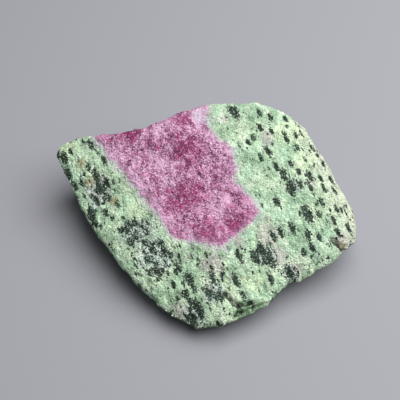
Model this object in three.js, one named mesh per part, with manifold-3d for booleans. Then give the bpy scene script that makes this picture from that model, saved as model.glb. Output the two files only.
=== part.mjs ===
// A rough hand specimen of ruby in zoisite: one broken lump of rock, as a single closed solid.
// Millimetres, +Z up. The origin is under the middle of the lump, on the surface it rests on.
// The lump is a wedge: its broad upper face climbs from a thin front edge to a thick back edge,
// and every side leans inwards on its way down to a smaller flat underside.

import * as THREE from "three";
import { ImprovedNoise } from "three/addons/math/ImprovedNoise.js";
import { mergeVertices } from "three/addons/utils/BufferGeometryUtils.js";
import Module from "manifold-3d";

const { clamp, degToRad, lerp } = THREE.MathUtils;
const wasm = await Module();
wasm.setup();

// Corners in plan, anticlockwise from the right-hand corner: the rim of the upper face, and the
// edge of the underside.
const RIM = [
  [43, -7], [43, 1], [37, 14], [30, 24], [24, 29], [15, 30], [3, 29], [-6, 26], [-14, 23],
  [-34, 23], [-41, 21], [-36, 12], [-27, -3], [-19, -14], [-6, -28], [-1, -30], [10, -30],
  [17, -26], [23, -19], [38, -12],
];
const FOOT = [
  [31, -2], [30, 11], [19, 23], [-8, 22], [-28, 19], [-27, 11], [-12, -12], [-1, -25], [10, -23],
  [24, -12],
];

// The upper face: a slope that climbs to the back, and falls off either side of a low ridge.
const FRONT_HEIGHT = 6;
const FRONT_Y = -31;
const CLIMB = 0.34;
const RIDGE_X = 8;
const RIDGE_ROUNDING = 12;
const FALL_LEFT = 0.2;
const FALL_RIGHT = 0.12;

// How far in from the rim the upper face starts to round over, and how far it drops there. The
// right-hand shoulder is worn much rounder than the other edges.
const EDGE_WIDTH = 2.5;
const EDGE_DROP = 1.2;
const SHOULDER_WIDTH = 11;
const SHOULDER_DROP = 5;
const SHOULDER_DIRECTION = degToRad(22);

// How the sides draw in to the foot: 1 is a straight slope, and more keeps them upright for longer.
const SIDE_CURVE = 1.3;

// Broken relief of the surface, as [height, spacing], and how much stronger it is on the sides.
const RELIEF = [
  [1.4, 21],
  [0.9, 9],
];
const SIDE_RELIEF = 1.8;

// The skin's grid: columns go round the lump, rows go from the middle of the top to the foot.
const COLUMNS = 112;
const TOP_ROWS = 15;
const SIDE_ROWS = 8;

// Flat breaks that take off an edge: the compass direction each one faces, how far it leans up from
// the horizontal, both in degrees, and how deep it bites.
const BREAKS = [
  { faces: 214, leans: -26, bite: 1.2 },
  { faces: 192, leans: -44, bite: 4 },
  { faces: 238, leans: -34, bite: 1.2 },
  { faces: 296, leans: -40, bite: 1.2 },
  { faces: 318, leans: -50, bite: 2.5 },
  { faces: 8, leans: -40, bite: 1.5 },
  { faces: 36, leans: -12, bite: 1 },
  { faces: 60, leans: 20, bite: 0.8 },
  { faces: 84, leans: -14, bite: 1.6 },
  { faces: 112, leans: -4, bite: 1.8 },
  { faces: 150, leans: -24, bite: 1.2 },
];
const BLOCK = 120;

// Ledges stepped down into the upper face: the middle of each floor, its size, its slope towards
// the front and the compass turn of its back wall, in degrees.
const LEDGES = [
  { middle: [14, -29, 4.2], size: [16, 9], slope: 42, turn: 24 },
  { middle: [41, -11, 5.6], size: [7, 5], slope: 30, turn: 58 },
];

const noise = new ImprovedNoise();

// Distance from the middle to a closed outline of corners, in the direction of an angle.
function reach(outline, angle) {
  const direction = new THREE.Vector2(Math.cos(angle), Math.sin(angle));
  for (let i = 0; i < outline.length; i++) {
    const a = new THREE.Vector2(...outline[i]);
    const b = new THREE.Vector2(...outline[(i + 1) % outline.length]);
    const edge = b.clone().sub(a);
    const across = direction.cross(edge);
    const along = a.cross(direction) / across;
    if (across > 0 && along >= 0 && along <= 1) return a.cross(edge) / across;
  }
  throw new Error("the outline does not surround the middle");
}

function relief(x, y, z) {
  return RELIEF.reduce((sum, [height, spacing]) => {
    return sum + height * noise.noise(x / spacing + 3, y / spacing + 7, z / spacing + 5);
  }, 0);
}

function upperFace(x, y) {
  const beside = Math.hypot(x - RIDGE_X, RIDGE_ROUNDING) - RIDGE_ROUNDING;
  const fall = x < RIDGE_X ? FALL_LEFT : FALL_RIGHT;
  return FRONT_HEIGHT + CLIMB * (y - FRONT_Y) - fall * beside;
}

// How far the upper face has rounded down at a distance in from the rim.
function roundOver(angle, inward) {
  const shoulder = Math.max(0, Math.cos(angle - SHOULDER_DIRECTION)) ** 3;
  const width = lerp(EDGE_WIDTH, SHOULDER_WIDTH, shoulder);
  const drop = lerp(EDGE_DROP, SHOULDER_DROP, shoulder);
  const near = clamp(1 - inward / width, 0, 1);
  return drop * (1 - Math.sqrt(1 - near * near));
}

// A point of the upper face: part is 0 in the middle and 1 on the rim.
function topPoint(rimPoint, part) {
  const spread = Math.sin((part * Math.PI) / 2);
  const { x, y } = rimPoint.clone().multiplyScalar(spread);
  const inward = rimPoint.length() * (1 - spread);
  const z = upperFace(x, y) - roundOver(rimPoint.angle(), inward) + relief(x, y, 0);
  return new THREE.Vector3(x, y, z);
}

// A point of the side under a point of the rim: part is 0 on the rim and 1 on the foot.
function sidePoint(rimPoint, part) {
  const angle = rimPoint.angle();
  const radius = lerp(rimPoint.length(), reach(FOOT, angle), part ** SIDE_CURVE);
  const z = topPoint(rimPoint, 1).z * (1 - part);
  const outward = new THREE.Vector3(Math.cos(angle), Math.sin(angle), 0);
  const point = outward.clone().multiplyScalar(radius).setZ(z);
  const swell = SIDE_RELIEF * relief(point.x, point.y, z) * Math.sin(part * Math.PI);
  return point.addScaledVector(outward, swell);
}

// A point of the skin, at a row counted from the middle of the top. The last row is the middle of
// the underside.
function skinPoint(rimPoint, row) {
  if (row <= TOP_ROWS) return topPoint(rimPoint, row / TOP_ROWS);
  if (row <= TOP_ROWS + SIDE_ROWS) return sidePoint(rimPoint, (row - TOP_ROWS) / SIDE_ROWS);
  return new THREE.Vector3(0, 0, 0);
}

// A sphere's grid of rows and columns, moved onto the lump's skin.
function lumpGeometry() {
  const rows = TOP_ROWS + SIDE_ROWS + 1;
  const rim = new THREE.Shape(RIM.map((corner) => new THREE.Vector2(...corner)));
  rim.closePath();
  const rimPoints = rim.getSpacedPoints(COLUMNS);
  const geometry = new THREE.SphereGeometry(1, COLUMNS, rows);
  const { position, uv } = geometry.attributes;
  for (let i = 0; i < position.count; i++) {
    const column = (Math.round(uv.getX(i) * COLUMNS) + COLUMNS) % COLUMNS;
    const row = Math.round((1 - uv.getY(i)) * rows);
    const point = skinPoint(rimPoints[column], row);
    position.setXYZ(i, point.x, point.y, point.z);
  }
  return geometry;
}

function solidOf(geometry) {
  const bare = geometry.clone();
  bare.deleteAttribute("normal");
  bare.deleteAttribute("uv");
  const merged = mergeVertices(bare, 1e-3);
  return new wasm.Manifold(
    new wasm.Mesh({
      numProp: 3,
      vertProperties: merged.attributes.position.array,
      triVerts: new Uint32Array(merged.index.array),
    }),
  );
}

function geometryOf(solid) {
  const mesh = solid.getMesh();
  const geometry = new THREE.BufferGeometry();
  geometry.setAttribute("position", new THREE.BufferAttribute(mesh.vertProperties, 3));
  geometry.setIndex(new THREE.BufferAttribute(mesh.triVerts, 1));
  return geometry;
}

// A block whose inner face lies on a flat break of the lump.
function breakBlock(solid, { faces, leans, bite }) {
  const direction = new THREE.Vector3(
    Math.cos(degToRad(faces)),
    Math.sin(degToRad(faces)),
    Math.tan(degToRad(leans)),
  ).normalize();
  const { position } = geometryOf(solid).attributes;
  let furthest = -Infinity;
  for (let i = 0; i < position.count; i++) {
    const corner = new THREE.Vector3().fromBufferAttribute(position, i);
    furthest = Math.max(furthest, corner.dot(direction));
  }
  const turn = new THREE.Quaternion().setFromUnitVectors(new THREE.Vector3(1, 0, 0), direction);
  return new THREE.BoxGeometry(BLOCK, BLOCK, BLOCK)
    .translate(BLOCK / 2 + furthest - bite, 0, 0)
    .applyQuaternion(turn);
}

// A block that stands on the sloping floor of a ledge.
function ledgeBlock({ middle, size, slope, turn }) {
  return new THREE.BoxGeometry(size[0], size[1], BLOCK)
    .translate(0, 0, BLOCK / 2)
    .rotateX(degToRad(slope))
    .rotateZ(degToRad(turn))
    .translate(...middle);
}

function stoneGeometry() {
  let solid = solidOf(lumpGeometry());
  for (const ledge of LEDGES) {
    solid = solid.subtract(solidOf(ledgeBlock(ledge)));
  }
  for (const flat of BREAKS) {
    solid = solid.subtract(solidOf(breakBlock(solid, flat)));
  }
  const geometry = geometryOf(solid);
  geometry.computeBoundingBox();
  const middle = geometry.boundingBox.getCenter(new THREE.Vector3());
  geometry.translate(-middle.x, -middle.y, 0);
  geometry.computeVertexNormals();
  return geometry;
}

const stone = new THREE.Mesh(
  stoneGeometry(),
  new THREE.MeshStandardMaterial({ color: 0x9dbb9c, roughness: 0.7, metalness: 0 }),
);
stone.name = "stone";

const group = new THREE.Group();
group.add(stone);

export default group;
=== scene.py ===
import math

import bpy
import numpy as np
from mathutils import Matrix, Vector


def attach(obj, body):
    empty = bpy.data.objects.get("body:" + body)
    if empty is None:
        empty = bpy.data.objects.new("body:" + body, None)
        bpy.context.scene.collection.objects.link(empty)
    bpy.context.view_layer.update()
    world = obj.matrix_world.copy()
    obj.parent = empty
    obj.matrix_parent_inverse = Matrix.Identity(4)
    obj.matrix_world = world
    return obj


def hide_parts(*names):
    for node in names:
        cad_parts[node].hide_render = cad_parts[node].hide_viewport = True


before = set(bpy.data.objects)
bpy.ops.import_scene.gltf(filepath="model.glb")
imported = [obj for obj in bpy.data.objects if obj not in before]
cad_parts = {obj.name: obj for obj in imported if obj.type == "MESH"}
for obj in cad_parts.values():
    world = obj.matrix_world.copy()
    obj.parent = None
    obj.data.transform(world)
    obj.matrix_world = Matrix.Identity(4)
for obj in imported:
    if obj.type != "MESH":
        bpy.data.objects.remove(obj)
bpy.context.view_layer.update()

# Lengths in this script are millimetres until they reach a mesh, except in the studio.
MM = 0.001

# The stone's broad upper face: height over the middle, climb to the back, and the low ridge that it
# falls off on both sides.
FACE_HEIGHT = 16.6
FACE_CLIMB = 0.34
RIDGE_X = 7
RIDGE_ROUNDING = 12
RIDGE_FALL = 0.2

# The grain of the rock: blebs and streaks are drawn out down the upper face, to the front right.
GRAIN = Vector((0.42, -0.86, -0.29)).normalized()
ACROSS = Vector((0.9, 0.42, 0)).cross(GRAIN).cross(GRAIN).normalized()
THROUGH = GRAIN.cross(ACROSS)

# The ruby patch is a prism that goes down into the rock. Each block of it is bounded by flat sides,
# given by the compass direction that each one faces and its distance from the stone's middle.
RUBY_BLOCKS = [
    [(217, 10.3), (254, 9), (302, 9.6), (344, 5), (9, 9.8), (52, 16.8)],
    [(217, 10.3), (254, 8.5), (7, 4)],
    [(48, 10.2), (28, 12.1), (310, 10.6), (180, -3)],
]
RUBY_DEPTH = 12

# Single features of the upper face, each as its place in plan and its size.
BLEBS = [
    (8, 26, 1.6), (15, 26, 0.8), (18, 25, 0.8), (22, 25, 0.8), (15, 22, 0.8), (18, 21, 0.8),
    (13, 19, 0.8), (22, 19, 0.9), (25, 17, 0.7), (17, 15, 1.1), (15, 13, 0.8), (23, 12, 0.8),
    (19, 11, 0.9), (21, 9, 1.1), (25, 10, 0.8), (23, 6, 1.3), (28, 9, 1.1), (31, 9, 0.8),
    (28, 6, 0.8), (19, 2, 1.1), (15, 1, 0.6), (27, -1, 1.7), (30, -1, 0.8), (31, 2, 0.8),
    (35, 1, 0.8), (23, -5, 1.1), (27, -6, 0.8), (20, -6, 0.9), (18, -7, 1.0), (30, -7, 0.9),
    (34, -2, 0.8), (35, -5, 0.9), (15, -11, 1.6), (17, -13, 1.6), (13, -13, 1.3), (22, -16, 1.5),
    (9, -13, 1.1), (6, -11, 0.8), (17, -18, 1.0), (8, -19, 1.1), (2, -18, 0.9), (1, -22, 1.1),
    (4, -23, 1.1), (-4, -18, 1.3), (-12, -16, 1.1), (-5, -22, 1.0), (-2, -25, 1.3), (-3, -28, 1.3),
    (-29, 11, 1.3), (-26, 9, 1.0), (-33, 10, 0.8), (-28, 8, 1.2), (-30, 2, 1.2), (-29, -1, 1.1),
    (-23, 3, 0.8), (-26, 1, 0.9), (29, 18, 0.8), (32, 14, 0.7), (34, 10, 0.8),
    (38, -3, 0.9), (-38, 17, 1.2), (-37, 13, 1.3), (-40, 19, 1.1),
]
CLUMPS = [
    (-17, -5, 7), (-13, -11, 7), (-28, 6, 5), (16, -12, 4), (22, -16, 3), (2, -22, 4), (-3, -27, 4),
    (24, 6, 3), (-30, 20, 3),
]
GREY_PATCHES = [
    (2, -15, 4), (17, -7, 4), (19, -12, 4), (17, 19, 3), (-28, 8, 4), (36, -7, 3), (23, -15, 3),
]
OCHRE_STAINS = [(-24, 4, 2.5), (-31, 10, 2), (-33, 15, 2), (36, -8, 1.2)]
# Darker green on the front facet under the crease: partly fresher, greener rock and partly painted
# shade where the facet turns down to the front.
FRESH_AND_SHADED_BREAKS = [(10, -27, 3), (14, -26, 3.5), (19, -22, 2.5)]
DEEP_PATCHES = [
    (-4, 15, 6), (-4, 4, 6), (2, -7, 7), (9, -5, 7), (-20, 22, 5), (-8, 1, 4), (-6, 24, 4),
]
LILAC_PATCHES = [(-1, 25, 3)]
LIGHT_PATCHES = [
    (-9, -9, 3), (-18, 1, 4), (11, -4, 2.5), (12, -19, 3), (23, 21, 5), (27, 14, 4), (-37, 20, 4),
]
PALE_PATCHES = [(-12, 12, 3), (-10, -2, 5), (6, 2, 3), (-24, 17, 6), (-17, 8, 5)]

# Creases of the upper face, as two ends in plan.
CREASES = [[(5, -22), (8, -25)], [(8, -25), (12, -24.5)], [(33, -7), (38, -10)]]

# How far above and below the smooth upper face a listed feature still keeps its place.
LIFT_DOWN = -3
LIFT_UP = 4

# The way that the right-hand shoulder faces, in plan. Its paler colour is partly worn rock and
# partly painted highlight, where it faces the lamp.
SHOULDER = Vector((0.93, 0.37, 0))

# How much longer than wide the patterns along the grain are.
BLEB_STRETCH = 2.1
SPECK_STRETCH = 2.2

# Finished mesh: size of the remesh's cells, smoothing passes, and how much of the map's width and
# height the stone's two halves fill.
VOXEL = 0.4
ROUNDING_PASSES = 9
MAP_FILL = 0.94

# Screen colours of the three minerals, of what stains them, of the painted shade and painted
# highlights on the rock, and of the floor.
ZOISITE = 0xAAC6A9
ZOISITE_YELLOWER = 0xBACFAF
ZOISITE_DARKER = 0x8CAC8A
ZOISITE_DARKEST = 0x7A987D
ZOISITE_PALEST = 0xCFDDC4
ZOISITE_LIGHT = 0xC6D8B2
ZOISITE_WORN_AND_LIT = 0xC8CCB6
ZOISITE_FRESH_AND_SHADED = 0x5F8058
GREY_ROCK = 0xB0A3A4
OCHRE = 0xA58A5C
RUBY_DARK = 0x5E2347
RUBY_PINK = 0xAC7696
RUBY_PALE = 0xDDB2CF
RUBY_CRIMSON = 0xA0346A
RUBY_PAINTED_GLINT = 0xEBD3E4
RUBY_LILAC = 0xD6C6D8
RUBY_EDGE = 0xBF97B4
RUBY_HALO = 0xB9AFB9
HORNBLENDE_BLACK = 0x16211A
HORNBLENDE_GREEN = 0x2F4034
HORNBLENDE_FLECK = 0x8FA68F
DUST_GREY = 0x8A9893
DUST_WHITE = 0xD5DAD8
CREASE_DIRT_AND_SHADE = 0x2A3026
FLOOR_GREY = 0x8E8E94

# The studio, in metres and watts, with the lens in millimetres.
FLOOR_SIZE = 6
LIGHT_PLACE = (0.17, 0.04, 0.4)
LIGHT_AIM = (0, 0, 0.01)
LIGHT_SIZE = 0.55
LIGHT_POWER = 4.25
SKY_COLOUR = (0.92, 0.95, 1, 1)
SKY_STRENGTH = 0.13
LENS = 100
NEAREST_SEEN = 0.01
VIEW_ELEVATION = math.radians(52)
VIEW_DISTANCE = 0.3
VIEW_AIM = Vector((-0.0011, 0.0072, 0.01))


def paint(code):
    """A colour socket's value for a hexadecimal screen colour."""
    parts = [(code >> shift & 255) / 255 for shift in (16, 8, 0)]
    return [c / 12.92 if c <= 0.04045 else ((c + 0.055) / 1.055) ** 2.4 for c in parts] + [1]


# Node writing


class Wire:
    """A node's output. Arithmetic on it adds the Math node, or Vector Math node, that does it."""

    def __init__(self, socket):
        self.socket = socket
        self.tree = socket.id_data

    def __add__(self, other):
        return maths("ADD", self, other)

    __radd__ = __add__

    def __sub__(self, other):
        return maths("SUBTRACT", self, other)

    def __rsub__(self, other):
        return maths("SUBTRACT", other, self)

    def __mul__(self, other):
        return maths("MULTIPLY", self, other)

    __rmul__ = __mul__

    def __truediv__(self, other):
        return maths("DIVIDE", self, other)

    def __pow__(self, other):
        return maths("POWER", self, other)


def add_node(tree, kind, settings=None, sockets=None, output=0):
    """Adds a node with its settings, then its sockets' values or links, and gives one output."""
    made = tree.nodes.new(kind)
    for name, value in (settings or {}).items():
        setattr(made, name, value)
    for name, value in (sockets or {}).items():
        if isinstance(value, Wire):
            tree.links.new(value.socket, made.inputs[name])
        else:
            made.inputs[name].default_value = value
    return None if output is None else Wire(made.outputs[output])


def maths(operation, *values):
    tree = next(v.tree for v in values if isinstance(v, Wire))
    if any(isinstance(v, Wire) and v.socket.type in ("VECTOR", "RGBA") for v in values):
        values = [v if isinstance(v, (Wire, tuple, Vector)) else (v, v, v) for v in values]
        kind = "ShaderNodeVectorMath"
    else:
        kind = "ShaderNodeMath"
    return add_node(tree, kind, {"operation": operation}, dict(enumerate(values)))


def smallest(values):
    found = values[0]
    for value in values[1:]:
        found = maths("MINIMUM", found, value)
    return found


def largest(values):
    found = values[0]
    for value in values[1:]:
        found = maths("MAXIMUM", found, value)
    return found


def measured(operation, first, second):
    """One number from two vectors, such as their distance."""
    settings = {"operation": operation}
    return add_node(first.tree, "ShaderNodeVectorMath", settings, {0: first, 1: second}, 1)


def along(place, direction):
    """How far a place lies along a direction."""
    return measured("DOT_PRODUCT", place, direction)


def vector(x, y, z):
    return add_node(x.tree, "ShaderNodeCombineXYZ", None, {0: x, 1: y, 2: z})


def rise(value, low, high):
    """0 below low, 1 above high, and a smooth climb between. It falls if low is above high."""
    limits = {"Value": value, "From Min": low, "From Max": high}
    return add_node(value.tree, "ShaderNodeMapRange", {"interpolation_type": "SMOOTHSTEP"}, limits)


def clouds(place, size, detail=2, roughness=0.5, output=0):
    """Soft noise from 0 to 1, whose lumps are about a size across. Output 1 is three of them."""
    sockets = {"Vector": place, "Scale": 1 / size, "Detail": detail, "Roughness": roughness}
    return add_node(place.tree, "ShaderNodeTexNoise", {"noise_dimensions": "3D"}, sockets, output)


def warped(place, size, strength, detail=1):
    """The place pushed about by noise, as far as strength either way."""
    return place + (clouds(place, size, detail, output=1) - (0.5, 0.5, 0.5)) * (2 * strength)


def cells(place, size):
    """Grains packed together: distance from a grain's middle, and its own three random numbers."""
    sockets = {"Vector": place, "Scale": 1 / size}
    distance = add_node(place.tree, "ShaderNodeTexVoronoi", {"feature": "F1"}, sockets)
    chance = Wire(distance.socket.node.outputs["Color"])
    return distance, parts(chance)


def parts(three):
    """A vector's three numbers."""
    node = three.tree.nodes.new("ShaderNodeSeparateXYZ")
    three.tree.links.new(three.socket, node.inputs[0])
    return [Wire(socket) for socket in node.outputs]


def blend(factor, first, second):
    """A colour between two, each a wire or a value."""
    settings = {"data_type": "RGBA", "clamp_factor": True}
    return add_node(factor.tree, "ShaderNodeMix", settings, {0: factor, 6: first, 7: second}, 2)


# The rock: patterns in the solid stone, which its shape and its finish both read


def stretched(place, stretch):
    """A fixed place in the grain's own directions, with the grain shortened."""
    return Vector((place.dot(GRAIN) / stretch, place.dot(ACROSS), place.dot(THROUGH)))


def drawn_out(place, stretch):
    """The place in the grain's own directions, with the grain shortened so that a pattern on it
    comes out stretched."""
    return vector(along(place, GRAIN / stretch), along(place, ACROSS), along(place, THROUGH))


def on_face(x, y):
    """A fixed place on the upper face."""
    beside = math.hypot(x - RIDGE_X, RIDGE_ROUNDING) - RIDGE_ROUNDING
    return Vector((x, y, FACE_HEIGHT + FACE_CLIMB * y - RIDGE_FALL * beside))


def depth_in_rock(place):
    """Depth below the upper face."""
    x, y, z = parts(place)
    beside = maths("SQRT", (x - RIDGE_X) ** 2 + RIDGE_ROUNDING**2) - RIDGE_ROUNDING
    return y * FACE_CLIMB + FACE_HEIGHT - RIDGE_FALL * beside - z


def lifted(place):
    """The place moved up or down on to the smooth upper face, if it is within a few millimetres, so
    that a feature listed on that face keeps its place where the ground is rough."""
    x, y, z = parts(place)
    return vector(x, y, z + smallest([largest([depth_in_rock(place), LIFT_DOWN]), LIFT_UP]))


def nearness(place, spots, stretch=1):
    """1 in the middle of the nearest of the listed spots, 0 at its edge, and negative beyond."""
    drawn = drawn_out(lifted(place), stretch)
    found = []
    for x, y, size in spots:
        middle = stretched(on_face(x, y), stretch)
        found.append(1 - measured("DISTANCE", drawn, middle) / size)
    return largest(found)


def crease_reach(place):
    """Distance from the nearest crease of the upper face."""
    place = lifted(place)
    found = []
    for ends in CREASES:
        start, end = (on_face(*corner) for corner in ends)
        direction = (end - start).normalized()
        reached = along(place - start, direction)
        reached = smallest([largest([reached, 0]), (end - start).length])
        closest = maths("MULTIPLY", direction, vector(reached, reached, reached)) + start
        found.append(measured("DISTANCE", place, closest))
    return smallest(found)


def ruby_reach(place):
    """How far inside the ruby patch a place is, and negative outside it."""
    depth = depth_in_rock(place)
    x, y, z = parts(place)
    ragged = warped(vector(x, y - depth * FACE_CLIMB, z), 5, 1.3, detail=1)
    ragged = warped(ragged, 1.6, 0.8, detail=3)
    blocks = []
    for sides in RUBY_BLOCKS:
        reaches = []
        for faces, distance in sides:
            angle = math.radians(faces)
            outward = Vector((math.cos(angle), math.sin(angle), 0))
            reaches.append(distance - along(ragged, outward))
        blocks.append(smallest(reaches))
    floor = RUBY_DEPTH + 5 * clouds(place, 9) - depth
    return smallest([largest(blocks), floor])


def crowding(place):
    """How thickly the hornblende grows, from about 0 to 1."""
    listed = largest([nearness(place, CLUMPS), 0])
    x, y, _ = parts(place)
    edges = largest([rise(y, -6, -13), rise(x, -16, -24), 0.6 * rise(x, 22, 32)])
    edges = largest([edges, rise(depth_in_rock(place), 3, 8)])
    return 1.3 * (clouds(place, 8, detail=2) - 0.5) + 0.1 + 0.26 * edges + 1.7 * listed


def hornblende(place, crowd):
    """How far a place is inside the dark blebs, and negative outside them."""
    ragged = warped(place, 1.4, 0.3, detail=2)
    placed = nearness(ragged, BLEBS, BLEB_STRETCH)
    distance, (chance, width, _) = cells(drawn_out(ragged, BLEB_STRETCH), 1.6)
    absent = 3 * rise(chance, 0.02 + crowd, 0.07 + crowd)
    scattered = 1.05 - distance / (0.28 + 0.3 * width) - absent
    distance, (chance, width, _) = cells(drawn_out(place, SPECK_STRETCH), 0.85)
    absent = 3 * rise(chance, 0.05 + 0.45 * crowd, 0.1 + 0.45 * crowd)
    specks = 0.9 - distance / (0.3 + 0.22 * width) - absent
    pepper = clouds(drawn_out(place, 1.9), 1.2, detail=2, roughness=0.6) - 0.7
    pepper = 3 * (pepper + 0.19 * smallest([crowd, 1.15]))
    return largest([placed - 0.08, scattered, specks, pepper])


# The stone's shape


def stone_copy():
    """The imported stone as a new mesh, with its loose triangles joined."""
    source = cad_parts["stone"]
    stone = bpy.data.objects.new("ruby_in_zoisite", source.data.copy())
    bpy.context.scene.collection.objects.link(stone)
    bpy.ops.object.select_all(action="DESELECT")
    stone.select_set(True)
    bpy.context.view_layer.objects.active = stone
    bpy.ops.object.mode_set(mode="EDIT")
    bpy.ops.mesh.select_all(action="SELECT")
    bpy.ops.mesh.remove_doubles(threshold=0.01 * MM)
    bpy.ops.object.mode_set(mode="OBJECT")
    return stone


def finish_with(piece, kind, **settings):
    """Adds a modifier and applies it."""
    modifier = piece.modifiers.new(kind, kind)
    for name, value in settings.items():
        setattr(modifier, name, value)
    bpy.ops.object.modifier_apply(modifier=modifier.name)


def relief_height(place):
    """How far the skin stands out: broken and weathered relief, creases and softened dark blebs."""
    depth = depth_in_rock(place)
    side = rise(depth, 1.5, 6)
    ruby = rise(ruby_reach(place), -0.3, 0.5)
    broad = 1.4 * (clouds(place, 12) - 0.5)
    bowl, _ = cells(warped(place, 6, 1.8, detail=2), 7)
    shoulder = rise(along(place, SHOULDER), 26, 34)
    chipped = (0.5 + 1.2 * side) * (1 - 0.75 * shoulder) * (bowl - 0.65)
    front = rise(parts(place)[1], -8, -18)
    hackly = (1.1 + 0.1 * side + 0.9 * front) * (1 - 0.5 * shoulder)
    hackly = hackly * (clouds(drawn_out(place, 1.4), 3.2, detail=4, roughness=0.6) - 0.53)
    crumbly = (0.75 + 0.1 * ruby + 0.1 * side) * (clouds(place, 1.5, detail=3, roughness=0.6) - 0.5)
    pits = -0.16 * rise(hornblende(place, crowding(place)), -0.1, 0.4) * (1 - ruby)
    crease = -1.2 * rise(crease_reach(warped(place, 2, 0.5)), 1, 0)
    return broad + chipped + hackly + crumbly + pits + crease


def relief_tree():
    """Moves the skin in or out along its normal, and never below the floor."""
    tree = bpy.data.node_groups.new("broken relief", "GeometryNodeTree")
    for way in ("INPUT", "OUTPUT"):
        tree.interface.new_socket("Geometry", in_out=way, socket_type="NodeSocketGeometry")
    mesh = add_node(tree, "NodeGroupInput")
    place = add_node(tree, "GeometryNodeInputPosition") * (1 / MM)
    normal = add_node(tree, "GeometryNodeInputNormal")
    height = relief_height(place)
    clear_of_floor = rise(parts(place)[2], 0.15, 2.5)
    under = maths("MINIMUM", height, 0)
    offset = normal * ((under + (height - under) * clear_of_floor) * MM)
    moved = add_node(tree, "GeometryNodeSetPosition", None, {"Geometry": mesh, "Offset": offset})
    add_node(tree, "NodeGroupOutput", None, {0: moved}, output=None)
    return tree


def directions_from_middle(points):
    """Directions from the stone's middle, turned so that the upper face is level."""
    up = np.array([0, -FACE_CLIMB, 1]) / math.hypot(FACE_CLIMB, 1)
    right = np.array([1, 0, 0])
    turned = points @ np.stack([right, np.cross(up, right), up], axis=1)
    low, high = turned.min(0), turned.max(0)
    middle = (low + high) / 2
    middle[2] = turned[:, 2].mean()
    directions = (turned - middle) / (high - low)
    return directions / np.linalg.norm(directions, axis=1)[:, None]


def half_of_map(directions, lower):
    """Places on a square, from -1 to 1, for directions in the upper or lower half of the stone,
    spread so that equal parts of the stone get equal parts of the square."""
    up = -directions[:, 2] if lower else directions[:, 2]
    radius = np.sqrt(np.clip(1 - up, 0, 2))
    angle = np.arctan2(directions[:, 1], directions[:, 0])
    turn = np.round(angle / (math.pi / 2)) * math.pi / 2
    aside = radius * (angle - turn) * 4 / math.pi
    u = radius * np.cos(turn) - aside * np.sin(turn)
    v = radius * np.sin(turn) + aside * np.cos(turn)
    return u, v


def unwrap(piece):
    """Lays out the stone's upper and lower halves, one above the other, on one square map."""
    mesh = piece.data
    corners = np.empty(len(mesh.loops), dtype=np.int64)
    mesh.loops.foreach_get("vertex_index", corners)
    points = np.empty(len(mesh.vertices) * 3)
    mesh.vertices.foreach_get("co", points)
    directions = directions_from_middle(points.reshape(-1, 3))
    counts = np.empty(len(mesh.polygons), dtype=np.int64)
    mesh.polygons.foreach_get("loop_total", counts)
    face_of = np.repeat(np.arange(len(counts)), counts)
    heights = np.bincount(face_of, directions[corners, 2]) / counts
    lower = (heights < 0)[face_of]
    places = np.empty((len(corners), 2))
    for half in (False, True):
        chosen = lower == half
        u, v = half_of_map(directions[corners[chosen]], half)
        places[chosen, 0] = 0.5 + u * MAP_FILL / 2
        places[chosen, 1] = (0.75 if half else 0.25) + v * MAP_FILL / 4
    layer = mesh.uv_layers.new(name="OFBake")
    layer.uv.foreach_set("vector", places.ravel())


def make_stone():
    stone = stone_copy()
    finish_with(stone, "REMESH", mode="VOXEL", voxel_size=VOXEL * MM)
    finish_with(stone, "SMOOTH", factor=0.5, iterations=ROUNDING_PASSES)
    finish_with(stone, "NODES", node_group=relief_tree())
    bpy.ops.object.shade_smooth()
    unwrap(stone)
    return stone


# The stone's finish


def zoisite_colour(place):
    mottle = clouds(place, 9, detail=2)
    patch = clouds(drawn_out(place, 1.4), 2.8, detail=4, roughness=0.6)
    colour = blend(rise(mottle, 0.4, 0.6), paint(ZOISITE), paint(ZOISITE_YELLOWER))
    darker = rise(clouds(place + (3, 20, 8), 5, detail=3), 0.48, 0.6)
    colour = blend(0.6 * darker, colour, paint(ZOISITE_DARKER))
    colour = blend(0.75 * rise(patch, 0.52, 0.68), colour, paint(ZOISITE_DARKEST))
    colour = blend(0.8 * rise(patch, 0.47, 0.32), colour, paint(ZOISITE_PALEST))
    wavering = warped(place, 3, 1.5, detail=2)
    light = rise(nearness(wavering, LIGHT_PATCHES), 0, 0.5)
    colour = blend(0.6 * light, colour, paint(ZOISITE_LIGHT))
    # Painted highlight: the right-hand shoulder is painted paler, partly as worn rock and partly as
    # the light that it catches from the lamp.
    shoulder = rise(along(place, SHOULDER) + 9 * patch, 33, 40)
    colour = blend(0.7 * shoulder, colour, paint(ZOISITE_WORN_AND_LIT))
    grey = clouds(place + (31, 7, 12), 7, detail=3) - 0.62
    grey = rise(largest([grey * 4, nearness(wavering, GREY_PATCHES)]), 0, 0.5)
    colour = blend(0.55 * grey, colour, paint(GREY_ROCK))
    ochre = rise(nearness(wavering, OCHRE_STAINS), 0, 0.7)
    colour = blend(0.5 * ochre, colour, paint(OCHRE))
    # Painted shade: the front facet under the crease is painted a darker green, partly fresher rock
    # and partly the shade of a face that turns down.
    broken = rise(nearness(wavering, FRESH_AND_SHADED_BREAKS), 0, 0.5)
    return blend(0.7 * broken, colour, paint(ZOISITE_FRESH_AND_SHADED))


def grain_shade(place, contrast):
    """Lightens and darkens single grains, about evenly around 1."""
    _, (coarse, _, _) = cells(drawn_out(place, 1.3), 0.42)
    fine = clouds(place, 0.3, detail=1)
    soft = clouds(drawn_out(place, 1.8), 1.5, detail=2)
    specks = rise(clouds(place + (8, 1, 5), 0.6, detail=1), 0.36, 0.26)
    return 1 + contrast * (0.45 * (coarse - 0.5) + 1.6 * (fine - 0.5) + soft - 0.5 - 0.3 * specks)


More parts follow.
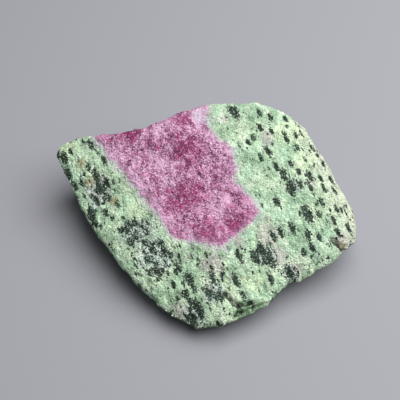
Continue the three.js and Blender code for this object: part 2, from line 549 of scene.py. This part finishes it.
def ruby_colour(place):
    _, (shade, glint_chance, _) = cells(warped(place, 0.6, 0.2), 0.38)
    medium = clouds(drawn_out(place, 1.6), 1.8, detail=4, roughness=0.62)
    broad = clouds(place + (5, 40, 3), 5, detail=2)
    deep = rise(nearness(place, DEEP_PATCHES), 0, 0.8)
    pale = rise(nearness(place, PALE_PATCHES), 0, 0.8)
    fine = clouds(place + (9, 2, 6), 0.32, detail=1)
    tone = 0.49 + 0.5 * (shade - 0.5) + 1.8 * (fine - 0.5) + 2.1 * (medium - 0.5)
    tone = tone + 0.7 * (broad - 0.5) - 0.33 * deep + 0.2 * pale
    colour = blend(rise(tone, 0, 0.5), paint(RUBY_DARK), paint(RUBY_PINK))
    colour = blend(rise(tone, 0.4, 1), colour, paint(RUBY_PALE))
    red = rise(clouds(place + (60, 4, 9), 2.6, detail=3), 0.52, 0.68)
    colour = blend(0.45 * red + 0.3 * deep, colour, paint(RUBY_CRIMSON))
    # Painted glints: a few single grains are painted near-white, as the glints off the ruby's
    # glassy grains.
    colour = blend(0.4 * rise(glint_chance, 0.86, 0.97), colour, paint(RUBY_PAINTED_GLINT))
    return blend(0.7 * rise(nearness(place, LILAC_PATCHES), 0, 0.5), colour, paint(RUBY_LILAC))


def hornblende_colour(place):
    flecks = rise(clouds(place + (2, 9, 4), 0.45), 0.56, 0.68)
    greener = rise(clouds(place, 1.2), 0.4, 0.65)
    colour = blend(greener, paint(HORNBLENDE_BLACK), paint(HORNBLENDE_GREEN))
    return blend(0.85 * flecks, colour, paint(HORNBLENDE_FLECK))


def stone_colour(place):
    reach = ruby_reach(place)
    crowd = crowding(place)
    grain = clouds(place, 0.5, detail=2, roughness=0.65) - 0.5
    dark = rise(hornblende(place, crowd) + 2 * grain, 0, 0.25)
    dusty = rise(crowd + 1.5 * grain, 0.5, 1.1)
    whiter = rise(clouds(place + (4, 4, 1), 0.5), 0.45, 0.62)
    dust = blend(whiter, paint(DUST_GREY), paint(DUST_WHITE))
    halo = rise(reach + 4 * grain, -1.6, -0.2)
    colour = blend(0.6 * dusty, zoisite_colour(place), dust)
    colour = colour * grain_shade(place, 0.9)
    colour = blend(dark * (1 - 0.8 * halo), colour, hornblende_colour(place))
    colour = blend(0.65 * halo, colour, paint(RUBY_HALO))
    inside = blend(0.4 * rise(reach + 2 * grain, 2.4, 0), ruby_colour(place), paint(RUBY_EDGE))
    colour = blend(rise(reach + 2.4 * grain, -0.3, 0.3), colour, inside)
    # Painted shade and dirt: the creases are painted near-black, for the shade that falls in them
    # and the dirt that they hold.
    crease = crease_reach(warped(place, 2, 0.5)) + 1.5 * grain
    return blend(0.9 * rise(crease, 0.75, 0.15), colour, paint(CREASE_DIRT_AND_SHADE))


def stone_finish():
    material = bpy.data.materials.new("ruby in zoisite")
    material.use_nodes = True
    tree = material.node_tree
    shader = tree.nodes["Principled BSDF"]
    place = add_node(tree, "ShaderNodeTexCoord", output="Object") * (1 / MM)
    tree.links.new(stone_colour(place).socket, shader.inputs["Base Color"])
    rough = 0.55 + 0.3 * clouds(place, 0.7)
    tree.links.new(rough.socket, shader.inputs["Roughness"])
    shader.inputs["Specular IOR Level"].default_value = 0.25
    distance, _ = cells(warped(place, 0.9, 0.25), 0.55)
    height = clouds(place, 1.1, detail=4, roughness=0.65) - 0.4 * distance
    bump = {"Height": height, "Strength": 1, "Distance": 0.7 * MM}
    normal = add_node(tree, "ShaderNodeBump", None, bump)
    tree.links.new(normal.socket, shader.inputs["Normal"])
    return material


# The studio


def plain_material(name, colour, roughness):
    material = bpy.data.materials.new(name)
    material.use_nodes = True
    shader = material.node_tree.nodes["Principled BSDF"]
    shader.inputs["Base Color"].default_value = colour
    shader.inputs["Roughness"].default_value = roughness
    return material


def make_floor():
    bpy.ops.object.select_all(action="DESELECT")
    bpy.ops.mesh.primitive_plane_add(size=FLOOR_SIZE)
    floor = bpy.context.object
    floor.name = "floor"
    floor.data.materials.append(plain_material("grey card", paint(FLOOR_GREY), 0.8))


def aim(piece, target):
    direction = Vector(target) - piece.location
    piece.rotation_euler = direction.to_track_quat("-Z", "Y").to_euler()


def make_window():
    """The one soft light, above the stone and to its right."""
    lamp = bpy.data.lights.new("window", "AREA")
    lamp.size = LIGHT_SIZE
    lamp.energy = LIGHT_POWER
    holder = bpy.data.objects.new("window", lamp)
    bpy.context.scene.collection.objects.link(holder)
    holder.location = LIGHT_PLACE
    aim(holder, LIGHT_AIM)


def make_sky():
    world = bpy.data.worlds.new("studio")
    world.use_nodes = True
    background = world.node_tree.nodes["Background"]
    background.inputs["Color"].default_value = SKY_COLOUR
    background.inputs["Strength"].default_value = SKY_STRENGTH
    bpy.context.scene.world = world
    bpy.context.scene.view_settings.view_transform = "Standard"


def make_camera():
    lens = bpy.data.cameras.new("camera")
    lens.lens = LENS
    lens.clip_start = NEAREST_SEEN
    camera = bpy.data.objects.new("camera", lens)
    bpy.context.scene.collection.objects.link(camera)
    back = Vector((0, -math.cos(VIEW_ELEVATION), math.sin(VIEW_ELEVATION)))
    camera.location = VIEW_AIM + back * VIEW_DISTANCE
    aim(camera, VIEW_AIM)
    bpy.context.scene.camera = camera


stone = make_stone()
stone.data.materials.clear()
stone.data.materials.append(stone_finish())
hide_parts("stone")
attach(stone, "root")
make_floor()
make_window()
make_sky()
make_camera()
